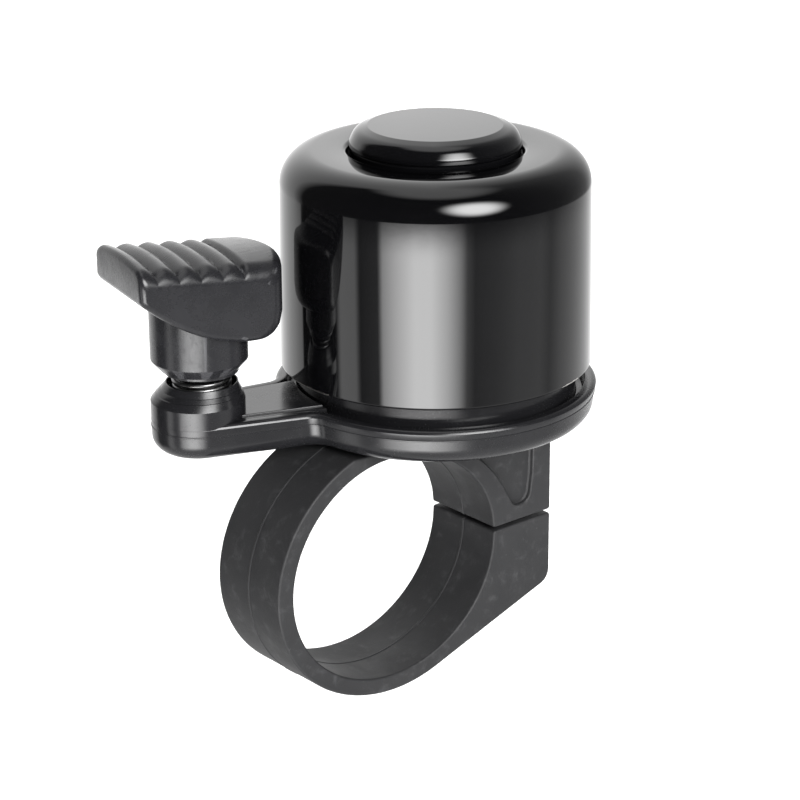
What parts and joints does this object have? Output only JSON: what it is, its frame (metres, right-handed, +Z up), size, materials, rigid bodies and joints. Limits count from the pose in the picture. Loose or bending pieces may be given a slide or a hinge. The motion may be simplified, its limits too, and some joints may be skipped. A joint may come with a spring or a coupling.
{
  "type": "bicycle bell",
  "caption": "Small bicycle bell: gloss dome with a centre cap on a round dish, a ribbed flick striker on a coil spring at the end of the dish's arm, and a split handlebar clamp.",
  "frame": {"origin": "centre of the clamp's bore, midway along the band", "axes": "+Y along the handlebar, +Z up along the bell's own axis, -X towards the striker's side"},
  "size_m": [0.0524, 0.0344, 0.0599],
  "materials": {
    "dome_gloss": "gloss black enamel on steel",
    "cap_gloss": "gloss black moulding",
    "base_plastic": "semi-gloss black moulding",
    "striker_plastic": "satin black moulding",
    "clamp_nylon": "fine textured black nylon",
    "bushing_nylon": "natural nylon",
    "spring_steel": "bright spring wire",
    "fastener_steel": "plain steel",
    "zinc_plate": "zinc plated"
  },
  "bodies": {
    "clamp": {"clamp_band": "clamp_nylon", "clamp_nut": "zinc_plate", "centre_bolt": "fastener_steel", "centre_nut": "zinc_plate", "bolt_washer": "zinc_plate"},
    "head": {"base": "base_plastic", "dome": "dome_gloss", "dome_bushing": "bushing_nylon", "cap": "cap_gloss"},
    "striker": {"striker": "striker_plastic"},
    "spring": {"striker_spring": "spring_steel"},
    "screw_travel": {"clamp_washer": "zinc_plate"},
    "screw": {"clamp_screw": "fastener_steel"}
  },
  "joints": [
    {"name": "head_swivel", "type": "hinge", "parent": "clamp", "child": "head", "pos_m": [0.00985, 0, 0.01945], "axis": [0, 0, 1], "range_deg": [-90, 90]},
    {"name": "striker_tilt", "type": "hinge", "parent": "head", "child": "striker", "pos_m": [-0.01557, 0.00748, 0.02195], "axis": [-0.2823, -0.9593, 0], "range_deg": [-8, 15], "stiffness_Nm_per_rad": 0.03},
    {"name": "spring_bend", "type": "hinge", "parent": "head", "child": "spring", "pos_m": [-0.01557, 0.00748, 0.02195], "axis": [-0.2823, -0.9593, 0], "range_deg": [-4, 7.5]},
    {"name": "screw_slide", "type": "slide", "parent": "clamp", "child": "screw_travel", "axis": [0, 0, 1], "range_m": [-0.0028, 0]},
    {"name": "screw_turn", "type": "hinge", "parent": "screw_travel", "child": "screw", "pos_m": [0.0178, 0, -0.006], "axis": [0, 0, 1], "range_deg": [-1440, 0]}
  ],
  "couplings": [
    {"joint": "spring_bend", "follows": "striker_tilt", "ratio": 0.5},
    {"joint": "screw_turn", "follows": "screw_slide", "rad_per_m": 8976}
  ]
}
